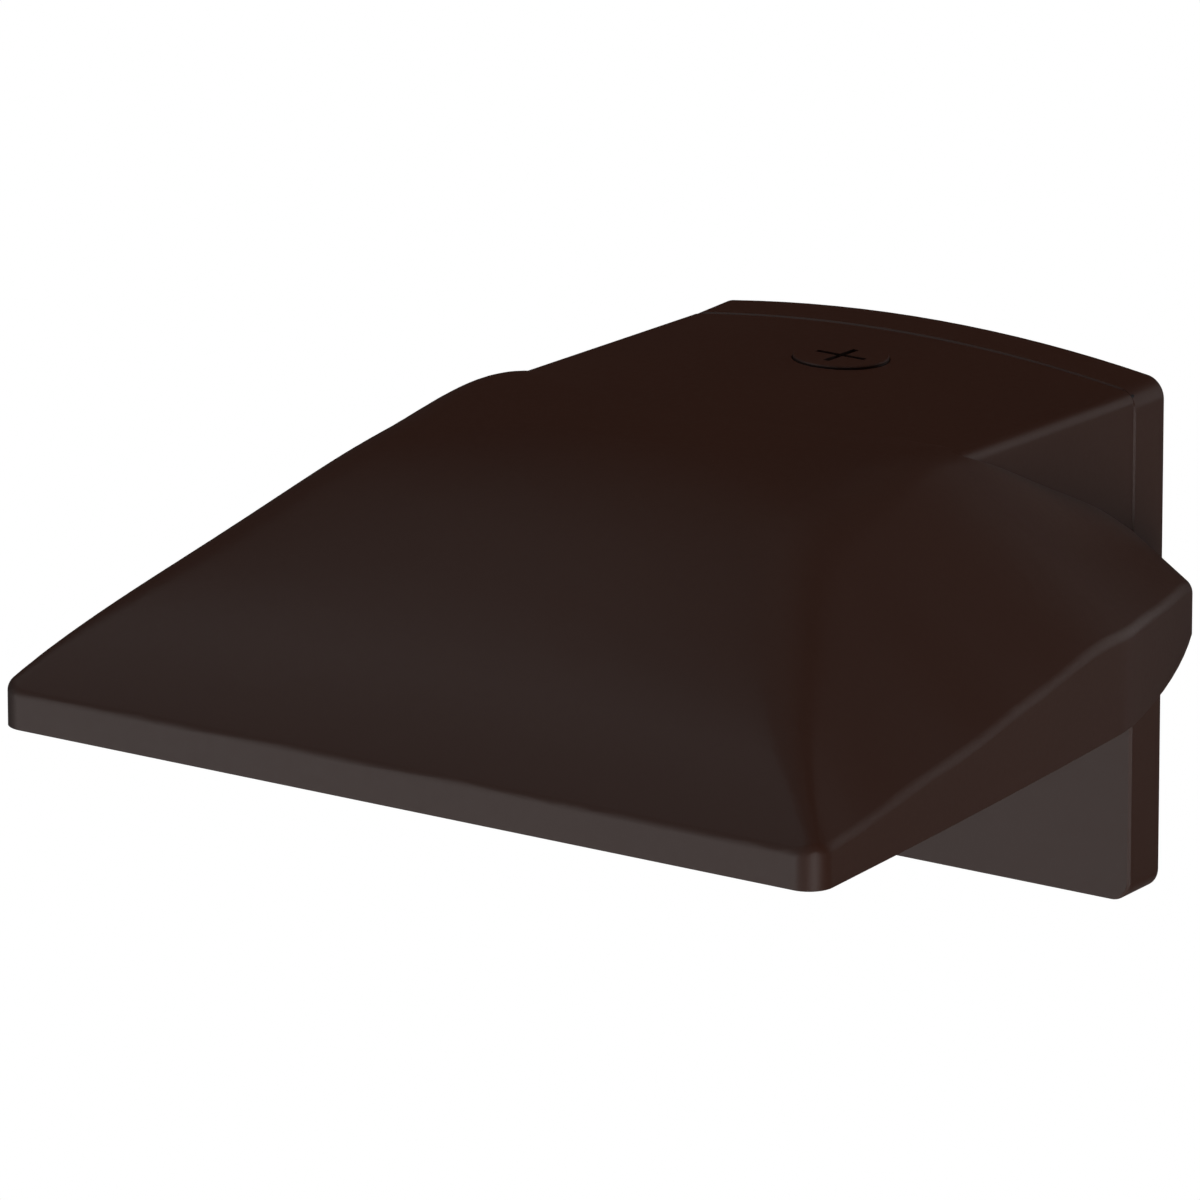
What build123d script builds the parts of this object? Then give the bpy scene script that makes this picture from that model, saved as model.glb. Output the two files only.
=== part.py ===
from build123d import *
import os
from math import atan, degrees, hypot, sqrt

# Outdoor wall pack light: a die-cast back plate on a junction box, and a die-cast
# housing (a square neck that opens into a sloping hood) hooked over its top edge.
# Millimetres. X is width, +Y goes into the wall, +Z is up. The origin lies on the
# wall, at the centre of the junction box. "out" is a distance in front of the
# plate's face, where housing and plate meet.

# ---- Driving dimensions ----
plate_width = 143.0
plate_height = 149.0        # bottom edge to the top of the arch
arch_rise = 5.5             # how far the top bows up between the plate's corners
plate_drop = 74.5           # bottom edge to the junction box centre
plate_depth = 15.0
plate_web = 3.0             # front wall of the plate
plate_rim = 2.6             # side walls of the plate
plate_ledge = 3.4           # gasket seat inside the side walls
plate_corner = 6.0
cast_edge = 0.7             # bevel along the plate's front edge

neck_inset = 0.4            # neck stands this far inside the plate's outline
neck_wall = 4.0
neck_roof_wall = 3.5
neck_length = 120.0
neck_pitch = 0.0437         # rise of the neck's roof for each millimetre forward
neck_edge = 3.5

hood_floor = 5.0            # underside of the hood, above the junction box centre
hood_reach = 243.5
hood_width = 256.0
hood_waist = 241.8          # width where the sides start to curve in
hood_waist_out = 81.7
hood_rear_width = 180.6     # width at the plate's face
hood_corner = 7.0
side_bow = 0.95             # how far the long sides bow outward
rear_bow = 3.6
hood_waist_round = 60.0
lip_height = 10.5
dome_rise = 64.2            # from the lip to the highest ridge of the hood
lip_round = 4.5
hood_wall = 3.0

door_recess = 3.0           # door frame above the hood's underside
door_thick = 3.0
seal_thick = 1.0
ledge_width = 4.0
ledge_thick = 3.0
door_gap = 0.4              # all round the door frame, inside the lip

lens_width = 190.0
lens_length = 84.0
lens_thick = 4.0
lens_out = 177.0            # centre of the lens
lens_seat = 4.0             # glass carried all round
lens_collar = 3.0
lens_gap = 0.5
lens_corner = 6.0

board_width = 172.0
board_length = 62.0
board_thick = 1.6
chip_side = 3.5
chip_thick = 1.2
chip_margin = 13.0          # from the board's ends to the outer light sources
chip_side_margin = 9.0
chip_columns = 12
chip_rows = 4
optic_thick = 2.5
optic_gap = 0.2
pad_height = 19.0           # underside of the LED pad above the hood's underside
pad_thick = 4.0
pad_margin = 10.0           # pad beyond the board, all round
pad_rib = 2.5
pad_rib_count = 7

driver_width = 110.0
driver_length = 58.0
driver_height = 28.0
driver_out = 54.0
driver_headroom = 19.1      # from the neck's roof down to its mounting face
tab_length = 11.0
tab_width = 24.0
tab_thick = 2.0

plug_out = 34.0
plug_head = 26.0            # closure plug of a half-inch conduit entry
plug_head_thick = 3.0
plug_thread = 21.3
plug_thread_depth = 0.45
plug_shank = 11.0
plug_slot = 15.3
plug_slot_width = 1.9
plug_proud = 0.85
plug_gap = 0.3
face_gap = 0.05             # each side of a washer that turns or lifts

hook_x = 45.0
hook_width = 12.0
hook_lip = 10.0             # plate web left above the window
hook_gap = 0.3
hook_thick = 3.0
hook_reach = 11.0
hook_tip = 3.8
window_width = 108.0
window_sill = 26.0          # lower edge of the window above the box centre
rest_x = 22.0
rest_width = 20.0
rest_reach = 6.0
rest_thick = 4.0
rest_gap = 0.1

lock_x = 57.0
lock_drop = 9.5             # lock screws below the hood's underside
lock_ear = 5.0
lock_ear_width = 18.0
lock_hole = 5.0
lock_thread_depth = 0.4
lock_clear = 5.4
lock_grip = 5.0             # length engaged in the plate
lock_washer_thick = 1.0
lock_boss = 11.0
lock_boss_depth = 10.0

strap_width = 134.0
strap_height = 64.0
strap_thick = 2.0
strap_slot_spacing = 88.9   # junction box screws
strap_slot_length = 13.0
strap_slot_width = 4.8
strap_wire_hole = 40.0
strap_screw_inset = 9.5     # from each end of the strap
strap_screw_z = 24.0
strap_boss = 9.0

bead_width = 2.4            # seal between plate and housing
bead_depth = 1.6
bead_inset = 0.8

screw_shank = 4.0
screw_gap = 0.1             # shank to its threaded hole, all round
screw_clear = 0.4           # shank to a clearance hole, all round
screw_head = 7.4
screw_head_thick = 2.4
small_shank = 3.0
small_head = 5.6
small_head_thick = 1.8

os.makedirs("parts", exist_ok=True)

# ---- Sizes that follow from them ----
half_plate = plate_width / 2
crest_z = plate_height - plate_drop
arch_radius = (half_plate**2 + arch_rise**2) / (2 * arch_rise)
neck_crest = crest_z - neck_inset
half_neck = half_plate - neck_inset
door_bottom = hood_floor + door_recess
door_top = door_bottom + door_thick
ledge_bottom = door_top + seal_thick
ledge_top = ledge_bottom + ledge_thick
lens_ledge = 2.0
lens_bottom = door_bottom + lens_ledge + seal_thick
lens_top = lens_bottom + lens_thick
pad_bottom = hood_floor + pad_height
board_bottom = pad_bottom - board_thick
chip_bottom = board_bottom - chip_thick
optic_bottom = chip_bottom - optic_gap - optic_thick
driver_top = neck_crest - driver_headroom
lock_z = hood_floor - lock_drop
strap_screw_x = strap_width / 2 - strap_screw_inset
window_top = crest_z - hook_lip

# Cross-sections of the hood, rear to front. Each has its place as a share of the
# reach, the height of its crest and of its hips as shares of the dome's rise, the
# hips' place as a share of the half width, the side slope, and the hips' rounding.
roof_stations = [
    (-0.025, 0.285, 0.516, 0.237, 0.634, 4),
    (0.000, 0.335, 0.516, 0.287, 0.634, 4),
    (0.152, 0.646, 0.523, 0.590, 0.667, 4),
    (0.275, 0.841, 0.531, 0.805, 0.746, 5),
    (0.394, 0.961, 0.539, 0.945, 0.833, 6),
    (0.501, 1.000, 0.547, 0.939, 0.873, 9),
    (0.591, 0.994, 0.551, 0.903, 0.868, 12),
    (0.686, 0.902, 0.570, 0.841, 0.878, 14),
    (0.772, 0.731, 0.656, 0.670, 0.872, 14),
    (0.854, 0.534, 0.754, 0.489, 0.905, 12),
    (0.928, 0.312, 0.863, 0.285, 0.985, 8),
    (1.000, 0.000, 0.992, -0.005, 0.960, 3),
    (1.035, -0.156, 1.031, -0.159, 0.970, 2.5),
]


def spot(x, out, z=0.0):
    """A place given by its distance in front of the plate's face."""
    return (x, -(plate_depth + out), z)


def bar(x0, x1, out0, out1, z0, z1):
    """A box between limits, with its depth given in front of the plate's face."""
    centre = spot((x0 + x1) / 2, (out0 + out1) / 2, (z0 + z1) / 2)
    return Pos(*centre) * Box(x1 - x0, abs(out1 - out0), z1 - z0)


def wall_face(inset, floor=None):
    """The plate's outline, drawn in: straight sides under a shallow arch."""
    half = half_plate - inset
    bottom = inset - plate_drop if floor is None else floor
    radius = arch_radius - inset
    centre = crest_z - arch_radius
    shoulder = centre + sqrt(radius**2 - half**2)
    edges = [
        Line((-half, bottom), (half, bottom)),
        Line((half, bottom), (half, shoulder)),
        ThreePointArc((half, shoulder), (0, centre + radius), (-half, shoulder)),
        Line((-half, shoulder), (-half, bottom)),
    ]
    return make_face(edges)


def rounded_wall_face(inset, floor=None):
    """The same outline with its corners rounded."""
    face = wall_face(inset, floor)
    return fillet(face.vertices(), max(plate_corner - inset, 0.8))


def wall_prism(face, near, far):
    """Extrude an upright outline between two distances in front of the wall."""
    return extrude(Plane.XZ.offset(near) * face, far - near)


def roof_section(station, drop):
    """One cross-section of the hood: slanted sides, rounded hips and a bowed top."""
    place, crest, hip, hip_height, slope, soft = station
    y = spot(0, place * hood_reach)[1]
    lip = hood_floor + lip_height - drop
    crest_level = lip + dome_rise * crest
    hip_z = lip + dome_rise * hip_height
    hip_x = hip * hood_width / 2
    foot_z = hood_floor - 30
    foot_x = hip_x + (hip_z - foot_z) / slope
    control_z = 2 * crest_level - hip_z
    side_run = soft / hypot(1, slope)
    top_run = soft / hypot(hip_x, control_z - hip_z)
    side = (hip_x + side_run, hip_z - slope * side_run)
    top = (hip_x - hip_x * top_run, hip_z + (control_z - hip_z) * top_run)

    def at(point, sign=1):
        return (sign * point[0], y, point[1])

    hip_point = (hip_x, hip_z)
    foot = (foot_x, foot_z)
    edges = [
        Line(at(foot), at(side)),
        Bezier(at(side), at(hip_point), at(top)),
        Bezier(at(top), (0, y, control_z), at(top, -1)),
        Bezier(at(top, -1), at(hip_point, -1), at(side, -1)),
        Line(at(side, -1), at(foot, -1)),
        Line(at(foot, -1), at(foot)),
    ]
    return make_face(edges)


def dome():
    """The hood's roof as a smooth loft."""
    return loft([roof_section(station, 0) for station in roof_stations])


def inner_section(station, drop):
    """The roof's underside at one station: straight facets under the same crest and hips."""
    place, crest, hip, hip_height, slope, soft = station
    y = spot(0, place * hood_reach)[1]
    lip = hood_floor + lip_height - drop
    crest_level = lip + dome_rise * crest
    hip_z = lip + dome_rise * hip_height
    hip_x = hip * hood_width / 2 - soft / 3
    foot_z = hood_floor - 30
    foot_x = hip_x + (hip_z - foot_z) / slope
    quarter_z = crest_level - (crest_level - hip_z) / 4
    right = [(foot_x, foot_z), (hip_x, hip_z), (hip_x / 2, quarter_z)]
    left = [(-x, z) for x, z in reversed(right)]
    corners = [(x, y, z) for x, z in right + [(0, crest_level)] + left]
    return make_face(Polyline(*corners, close=True))


def inner_dome(drop):
    """The space under the hood's roof, ruled from every other station."""
    stations = roof_stations[:1] + roof_stations[1:-1:2] + roof_stations[-1:]
    return loft([inner_section(station, drop) for station in stations], ruled=True)


def hood_plan():
    """The hood seen from above: long bowed sides that curve in to the plate."""
    front = hood_width / 2
    waist = hood_waist / 2
    rear = hood_rear_width / 2
    side_mid = (front + waist) / 2 + side_bow
    side_mid_out = (hood_reach + hood_waist_out) / 2
    rear_mid = (waist + rear) / 2 + rear_bow / 2
    edges = [Line(spot(-front, hood_reach), spot(front, hood_reach))]
    edges.append(Line(spot(-rear, 0), spot(rear, 0)))
    for sign in (-1, 1):
        waist_spot = spot(sign * waist, hood_waist_out)
        side = spot(sign * side_mid, side_mid_out)
        wing = spot(sign * rear_mid, hood_waist_out / 2 - rear_bow / 2)
        edges.append(ThreePointArc(spot(sign * front, hood_reach), side, waist_spot))
        edges.append(ThreePointArc(waist_spot, wing, spot(sign * rear, 0)))
    face = make_face(edges)
    waists = [v for v in face.vertices() if abs(abs(v.X) - waist) < 0.01]
    face = fillet(waists, hood_waist_round)
    corners = [v for v in face.vertices() if abs(abs(v.X) - front) < 0.01]
    return fillet(corners, hood_corner)


def plan_prism(inset, low, high):
    """The hood's plan, drawn in, extruded between two levels."""
    face = hood_plan()
    if inset > 0:
        face = offset(face, -inset, kind=Kind.INTERSECTION)
    return extrude(Pos(0, 0, low) * face, high - low)


def neck_space(drop):
    """Everything under the neck's roof: the arch swept forward along its pitch."""
    reach = hood_width * 0.6
    radius = arch_radius - neck_inset - drop
    crest = neck_crest - drop
    low = crest - radius + sqrt(radius**2 - reach**2)
    edges = [
        Line((-reach, -2 * plate_drop), (reach, -2 * plate_drop)),
        Line((reach, -2 * plate_drop), (reach, low)),
        ThreePointArc((reach, low), (0, crest), (-reach, low)),
        Line((-reach, low), (-reach, -2 * plate_drop)),
    ]
    lead = 2.0
    start = (0, lead - plate_depth, -lead * neck_pitch)
    plane = Plane(origin=start, x_dir=(1, 0, 0), z_dir=(0, -1, neck_pitch))
    return extrude(plane * make_face(edges), hood_reach + 2 * lead)


def side_half_width(out):
    """Half the hood's width along its long sides, at a distance in front of the plate."""
    share = (out - hood_waist_out) / (hood_reach - hood_waist_out)
    return (hood_waist + (hood_width - hood_waist) * share) / 2


def screw(shank, length, head, head_thick):
    """A hexagon head screw standing on its seat at the origin, shank along -Z."""
    body = extrude(RegularPolygon(head / 2, 6), head_thick)
    return body + Pos(0, 0, -length / 2) * Cylinder(shank / 2, length)


def hole(radius, length):
    """A round cutter from the origin along -Z."""
    return Pos(0, 0, -length / 2) * Cylinder(radius, length)


facing_out = Rot(90, 0, 0)      # turns +Z to face away from the wall
facing_down = Rot(180, 0, 0)


# ---- Places of the fasteners ----
def door_screw_places():
    """Three screws along each side of the door frame, on the bosses of the ledge."""
    front = hood_wall + ledge_width + 2.0
    mid_out = hood_waist_out + 0.30 * (hood_reach - hood_waist_out)
    rear_x = half_neck - 16
    places = []
    for sign in (-1, 1):
        places.append((sign * (hood_width / 2 - front), hood_reach - front))
        places.append((sign * (side_half_width(mid_out) - front), mid_out))
        places.append((sign * rear_x, front))
    return places


door_places = door_screw_places()
clip_places = [(side * (lens_width / 2 - 28), lens_out + end * (lens_length / 2 + 8.5), end)
               for side in (-1, 1) for end in (-1, 1)]
board_places = [(side * (board_width / 2 - 5), lens_out + end * (board_length / 2 - 5))
                for side in (-1, 1) for end in (-1, 1)]
tab_x = driver_width / 2 + tab_length / 2
boss_radius = 4.5
clip_boss_radius = 4.0

# ---- Plug axis, square to the neck's roof ----
pitch_angle = degrees(atan(neck_pitch))
plug_seat_z = neck_crest + neck_pitch * plug_out
plug_place = Pos(*spot(0, plug_out, plug_seat_z)) * Rot(-pitch_angle, 0, 0)
plug_sink = plug_head_thick + seal_thick - plug_proud


# ---- Back plate and what is fixed to the wall ----
def make_back_plate():
    """Open-backed die casting with a window for the leads and the housing's hooks."""
    plate = wall_prism(rounded_wall_face(0), 0, plate_depth)
    plate = chamfer(plate.faces().sort_by(Axis.Y)[0].edges(), cast_edge)
    pocket_depth = plate_depth - plate_web
    inner = plate_rim + plate_ledge
    plate -= wall_prism(rounded_wall_face(plate_rim), -1, strap_thick)
    plate -= wall_prism(rounded_wall_face(inner), 0, pocket_depth)
    for sign in (-1, 1):
        x = sign * hook_x
        half = hook_width / 2 + 1
        pocket = bar(x - half, x + half, -pocket_depth, -plate_web, window_top, crest_z)
        plate -= pocket & wall_prism(wall_face(plate_web), 0, plate_depth)
    window = Box(window_width, 4 * plate_web, window_top - window_sill)
    window = fillet(window.edges().filter_by(Axis.Y), 4)
    plate -= Pos(*spot(0, 0, (window_top + window_sill) / 2)) * window
    # Bosses for the screws into the strap and for the lock screws.
    rib_height = 6.0
    rib_thick = 2.0
    for sign in (-1, 1):
        boss = Pos(sign * strap_screw_x, 0, strap_screw_z) * facing_out
        height = pocket_depth - strap_thick
        centre = Pos(0, 0, strap_thick + height / 2)
        plate += boss * centre * Cylinder(strap_boss / 2, height)
        plate -= boss * Pos(0, 0, plate_depth + 1) * hole(screw_shank / 2 + screw_clear,
                                                          plate_depth + 2)
        lock = Pos(sign * lock_x, 0, lock_z) * facing_out
        near = plate_depth - lock_boss_depth
        plate += lock * Pos(0, 0, (near + pocket_depth) / 2) * Cylinder(
            lock_boss / 2, pocket_depth - near)
        plate -= lock * Pos(0, 0, plate_depth + 1) * hole(lock_hole / 2, plate_depth + 2)
        rib_top = -strap_height / 2 - 3
        rib_bottom = plate_rim + plate_ledge - plate_drop - 1
        x = sign * plate_width / 4
        rib = bar(x - rib_thick / 2, x + rib_thick / 2, -plate_web - rib_height, -plate_web,
                  rib_bottom, rib_top)
        plate += rib
    cross = bar(-plate_width / 4, plate_width / 4, -plate_web - rib_height, -plate_web,
                -plate_drop * 0.7 - rib_thick, -plate_drop * 0.7)
    plate += cross
    # Rests that carry the housing under its roof.
    roof_inside = neck_space(neck_roof_wall + rest_gap)
    roof_under = neck_space(neck_roof_wall + rest_gap + rest_thick)
    for sign in (-1, 1):
        x = sign * rest_x
        block = bar(x - rest_width / 2, x + rest_width / 2, -plate_web, rest_reach,
                    window_top - 2, crest_z)
        front = bar(-plate_width, plate_width, 0, rest_reach, 0, 2 * crest_z)
        plate += (block & front & roof_inside) - roof_under
    # Groove for the seal, ground screw hole.
    outer_bead = wall_face(neck_inset + bead_inset, hood_floor + bead_inset)
    inner_bead = wall_face(neck_inset + bead_inset + bead_width,
                           hood_floor + bead_inset + bead_width)
    plate -= wall_prism(outer_bead - inner_bead, plate_depth - bead_depth, plate_depth + 1)
    plate += ground_place() * Pos(0, 0, -plate_web - 2) * Cylinder(4, 4)
    plate -= ground_place() * Pos(0, 0, 1) * hole(screw_shank / 2 + screw_gap, plate_depth)
    return plate


def ground_place():
    """The ground screw's seat, on the web under the window."""
    level = (ledge_top + window_sill) / 2
    return Pos(*spot(-half_plate * 0.42, 0, level)) * facing_out


def make_wall_gasket():
    """Foam ring on the ledge inside the plate's rim, flush with the wall."""
    ring = rounded_wall_face(plate_rim) - rounded_wall_face(plate_rim + plate_ledge)
    return wall_prism(ring, 0, strap_thick)


def make_housing_gasket():
    """Bead in the groove of the plate, flush with its face."""
    outer = wall_face(neck_inset + bead_inset, hood_floor + bead_inset)
    inner = wall_face(neck_inset + bead_inset + bead_width, hood_floor + bead_inset + bead_width)
    return wall_prism(outer - inner, plate_depth - bead_depth, plate_depth)


def make_mounting_strap():
    """Flat steel strap with slots for the junction box screws and a wire hole."""
    sheet = Plane.XZ * RectangleRounded(strap_width - 2 * plate_rim, strap_height, 6)
    sheet = extrude(sheet, strap_thick)
    trim = wall_prism(rounded_wall_face(plate_rim + plate_ledge + 0.5), -1, strap_thick + 1)
    strap = sheet & trim
    strap -= Pos(0, -strap_thick / 2, 0) * facing_out * Cylinder(strap_wire_hole / 2,
                                                                  2 * strap_thick)
    for sign in (-1, 1):
        slot = SlotOverall(strap_slot_length, strap_slot_width)
        cut = extrude(Plane.XZ.offset(-1) * Pos(sign * strap_slot_spacing / 2, 0) * slot,
                      strap_thick + 2)
        strap -= cut
        tapped = Pos(sign * strap_screw_x, 0, strap_screw_z) * facing_out
        strap -= tapped * Pos(0, 0, strap_thick + 1) * hole(screw_shank / 2 + screw_gap,
                                                            strap_thick + 2)
    return strap


def make_strap_screw(sign):
    """Screw through the plate into the strap."""
    length = plate_depth - 0.2
    place = Pos(*spot(sign * strap_screw_x, 0, strap_screw_z)) * facing_out
    return place * screw(screw_shank, length, screw_head, screw_head_thick)


def make_ground_screw():
    return ground_place() * screw(screw_shank, plate_web + 3, screw_head, screw_head_thick)


# ---- Housing ----
def make_housing():
    """Die-cast neck and hood in one piece, open at the back and underneath."""
    high = 2 * crest_z
    tall = hood_floor + high
    neck = bar(-half_neck, half_neck, 0, neck_length, hood_floor, high)
    outer = (dome() & plan_prism(0, hood_floor, high)) + (neck & neck_space(0))
    lip = [e for e in outer.edges() if on_lip_crease(e)]
    outer = fillet(lip, lip_round)
    shoulders = [e for e in outer.edges() if on_neck_shoulder(e)]
    outer = fillet(shoulders, neck_edge)
    roof_drop = 1.25 * hood_wall
    inner_half = half_neck - neck_wall
    cavity = inner_dome(roof_drop) & plan_prism(hood_wall, hood_floor - 1, tall)
    tunnel = bar(-inner_half, inner_half, -1, neck_length, ledge_top, high)
    housing = outer - cavity - (tunnel & neck_space(neck_roof_wall))
    ledge = plan_prism(hood_wall - 0.2, ledge_bottom, ledge_top)
    ledge -= plan_prism(hood_wall + ledge_width, ledge_bottom - 1, ledge_top + 1)
    housing += ledge & outer
    housing += housing_ribs() & outer
    boss_height = 10.0
    for x, out in door_places:
        boss = Pos(*spot(x, out, ledge_bottom + boss_height / 2)) * Cylinder(
            boss_radius, boss_height)
        housing += boss & outer
        housing -= Pos(*spot(x, out, ledge_bottom)) * facing_down * hole(
            screw_shank / 2 + screw_gap, 8.5)
    for x, out in board_places:
        housing -= Pos(*spot(x, out, pad_bottom)) * facing_down * hole(
            small_shank / 2 + screw_gap, pad_thick - 0.5)
    for sign in (-1, 1):
        housing += driver_boss(sign) & outer
        housing -= Pos(*spot(sign * tab_x, driver_out, driver_top)) * facing_down * hole(
            screw_shank / 2 + screw_gap, 9)
        housing += make_hook(sign) & neck_space(0)
        housing += make_lock_ear(sign)
    boss_length = plug_shank + 1.5
    plug_boss = plug_place * Pos(0, 0, -boss_length / 2 - 0.5) * Cylinder(
        plug_thread / 2 + 3.5, boss_length)
    housing += plug_boss & neck_space(1)
    housing -= plug_place * Pos(0, 0, 10) * hole(plug_head / 2 + plug_gap, 10 + plug_sink)
    housing -= plug_place * hole(plug_thread / 2, 30)
    return housing


def on_lip_crease(edge):
    """Whether an edge lies where the hood's roof meets its upright sides."""
    box = edge.bounding_box()
    reach = -box.min.Y - plate_depth
    widest = max(abs(box.min.X), abs(box.max.X))
    curved = edge.geom_type == GeomType.BSPLINE
    low = box.max.Z < hood_floor + lip_height + 0.24 * dome_rise
    forward = reach > hood_waist_out * 0.9
    return curved and low and forward and widest > hood_waist * 0.49


def on_neck_shoulder(edge):
    """Whether an edge is a top corner of the neck."""
    box = edge.bounding_box()
    narrow = box.max.X - box.min.X < 0.5
    beside = min(abs(box.min.X), abs(box.max.X)) > half_neck - 0.5
    return narrow and beside and box.min.Z > neck_crest - arch_rise - 1 and box.max.Y > -16


def housing_ribs():
    """The LED pad and the cooling ribs that hang it from the roof."""
    half = board_width / 2 + pad_margin
    length = board_length / 2 + pad_margin
    ribs = bar(-half, half, lens_out - length, lens_out + length, pad_bottom,
               pad_bottom + pad_thick)
    for index in range(pad_rib_count):
        x = (index - (pad_rib_count - 1) / 2) * (2 * half - 4 * pad_rib) / (pad_rib_count - 1)
        ribs += bar(x - pad_rib / 2, x + pad_rib / 2, lens_out - length, lens_out + length,
                    pad_bottom + pad_thick / 2, 2 * crest_z)
    return ribs


def driver_boss(sign):
    """A post from the roof down to the driver's mounting face."""
    x = sign * tab_x
    height = 2 * crest_z - driver_top
    return Pos(*spot(x, driver_out, driver_top + height / 2)) * Cylinder(boss_radius, height)


def make_hook(sign):
    """A hook from the roof through the window, turned up behind the plate's web."""
    low = window_top - hook_gap - hook_thick
    x0 = sign * hook_x - hook_width / 2
    x1 = sign * hook_x + hook_width / 2
    hook = bar(x0, x1, 0, 5, low, crest_z)
    hook += bar(x0, x1, -hook_reach, 5, low, low + hook_thick)
    hook += bar(x0, x1, -hook_reach, -hook_reach + hook_thick, low, low + hook_thick + hook_tip)
    return hook


def make_lock_ear(sign):
    """An ear under the neck that the lock screw passes through."""
    radius = lock_ear_width / 2
    x = sign * lock_x
    ear = bar(x - radius, x + radius, 0, lock_ear, lock_z, hood_floor + 1)
    ear += Pos(*spot(x, lock_ear / 2, lock_z)) * facing_out * Cylinder(radius, lock_ear)
    ear -= Pos(*spot(x, lock_ear + 1, lock_z)) * facing_out * hole(lock_clear / 2, lock_ear + 2)
    return ear


def make_conduit_plug():
    """Closure plug: round head with a cross recess, and a hollow threaded shank."""
    head = Pos(0, 0, plug_head_thick / 2) * Cylinder(plug_head / 2, plug_head_thick)
    head = chamfer(head.edges().sort_by(Axis.Z)[-1], 0.3)
    core = plug_thread / 2 - plug_thread_depth
    plug = head + Pos(0, 0, -plug_shank / 2) * Cylinder(core, plug_shank)
    bore = plug_shank - 3
    plug -= Pos(0, 0, bore / 2 - plug_shank) * Cylinder(core - 2.2, bore)
    for angle in (0, 90):
        cut = Box(plug_slot, plug_slot_width, 3.2)
        plug -= Pos(0, 0, plug_head_thick) * Rot(0, 0, angle) * cut
    return plug_place * Pos(0, 0, plug_proud - plug_head_thick) * plug


def make_plug_seal():
    """Washer under the plug's head."""
    ring = Cylinder(plug_head / 2 - 0.5, seal_thick - 2 * face_gap)
    ring -= Cylinder(plug_thread / 2 - plug_thread_depth + 0.05, 2 * seal_thick)
    return plug_place * Pos(0, 0, seal_thick / 2 - plug_sink) * ring


def make_lock_washer(sign):
    """Washer between the lock screw's head and the ear."""
    ring = Cylinder(lock_hole, lock_washer_thick - 2 * face_gap)
    ring -= Cylinder(lock_hole / 2 - lock_thread_depth + 0.05, 2 * lock_washer_thick)
    middle = lock_ear + lock_washer_thick / 2
    return Pos(*spot(sign * lock_x, middle, lock_z)) * facing_out * ring


def make_lock_screw(sign):
    """Captive screw through the ear into the plate."""
    core = lock_hole - 2 * lock_thread_depth
    length = lock_washer_thick + lock_ear + lock_grip
    place = Pos(*spot(sign * lock_x, lock_ear + lock_washer_thick, lock_z)) * facing_out
    return place * screw(core, length, 1.8 * lock_hole, 0.7 * lock_hole)


# ---- Door frame, lens and light engine ----
def lens_block(margin, low, high):
    """A rounded block over the lens, larger than the glass by a margin."""
    corner = max(lens_corner + margin, 1)
    face = RectangleRounded(lens_width + 2 * margin, lens_length + 2 * margin, corner)
    return extrude(Pos(*spot(0, lens_out, low)) * face, high - low)


def make_door_frame():
    """Cast frame that closes the hood's underside and carries the lens."""
    frame = plan_prism(hood_wall + door_gap, door_bottom, door_top)
    frame += lens_block(lens_gap + lens_collar, door_bottom, lens_top)
    frame -= lens_block(lens_gap, door_bottom + lens_ledge, lens_top + 1)
    frame -= lens_block(-lens_seat, door_bottom - 1, lens_top + 1)
    rib_top = door_top + 3.0
    pan_rear = 26.0
    pan_front = lens_out - lens_length / 2 - lens_gap - lens_collar - 12
    for share in (-0.3, 0.3):
        x = share * half_neck * 1.6
        frame += bar(x - 1.25, x + 1.25, pan_rear, pan_front, door_top - 0.5, rib_top)
    for x, out, end in clip_places:
        height = lens_top - door_top + 0.5
        frame += Pos(*spot(x, out, lens_top - height / 2)) * Cylinder(clip_boss_radius, height)
        frame -= Pos(*spot(x, out, lens_top)) * hole(small_shank / 2 + screw_gap,
                                                     lens_thick + 1)
    for x, out in door_places:
        frame -= Pos(*spot(x, out, door_top + 1)) * hole(screw_shank / 2 + screw_clear,
                                                         door_thick + 2)
    frame += terminal_place() * Pos(0, 0, -0.25) * Cylinder(3.5, 0.5)
    frame -= terminal_place() * hole(small_shank / 2 + screw_gap, door_thick - 0.6)
    return frame


def make_door_gasket():
    """Flat seal between the door frame and the ledge inside the lip."""
    seal = plan_prism(hood_wall + door_gap, door_top, ledge_bottom)
    seal -= plan_prism(hood_wall + ledge_width, door_top - 1, ledge_bottom + 1)
    return seal


def make_door_screw(place):
    x, out = place
    seat = Pos(*spot(x, out, door_bottom)) * facing_down
    return seat * screw(screw_shank, door_thick + seal_thick + 8, screw_head, screw_head_thick)


def make_lens():
    """Flat tempered glass."""
    glass = lens_block(0, lens_bottom, lens_top)
    return chamfer(glass.faces().sort_by(Axis.Z)[0].edges(), 0.5)


def make_lens_gasket():
    ring = lens_block(0, lens_bottom - seal_thick, lens_bottom)
    return ring - lens_block(-3.0, lens_bottom - 2 * seal_thick, lens_bottom + 1)


def make_lens_clip(place):
    """Spring steel clip from its boss over the edge of the glass."""
    x, out, end = place
    inward = out - end * 14.0
    outward = out + end * 4.0
    clip = bar(x - 6, x + 6, inward, outward, lens_top, lens_top + 1.2)
    return clip - Pos(*spot(x, out, lens_top + 2)) * hole(small_shank / 2 + screw_clear, 4)


def make_clip_screw(place):
    x, out, end = place
    seat = Pos(*spot(x, out, lens_top + 1.2))
    return seat * screw(small_shank, 1.2 + lens_thick, small_head, small_head_thick)


def make_led_board():
    """Aluminium-core board on the pad."""
    face = RectangleRounded(board_width, board_length, 2)
    board = extrude(Pos(*spot(0, lens_out, board_bottom)) * face, board_thick)
    for x, out in board_places:
        board -= Pos(*spot(x, out, pad_bottom + 1)) * hole(small_shank / 2 + screw_clear,
                                                           board_thick + 2)
    return board


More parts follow.
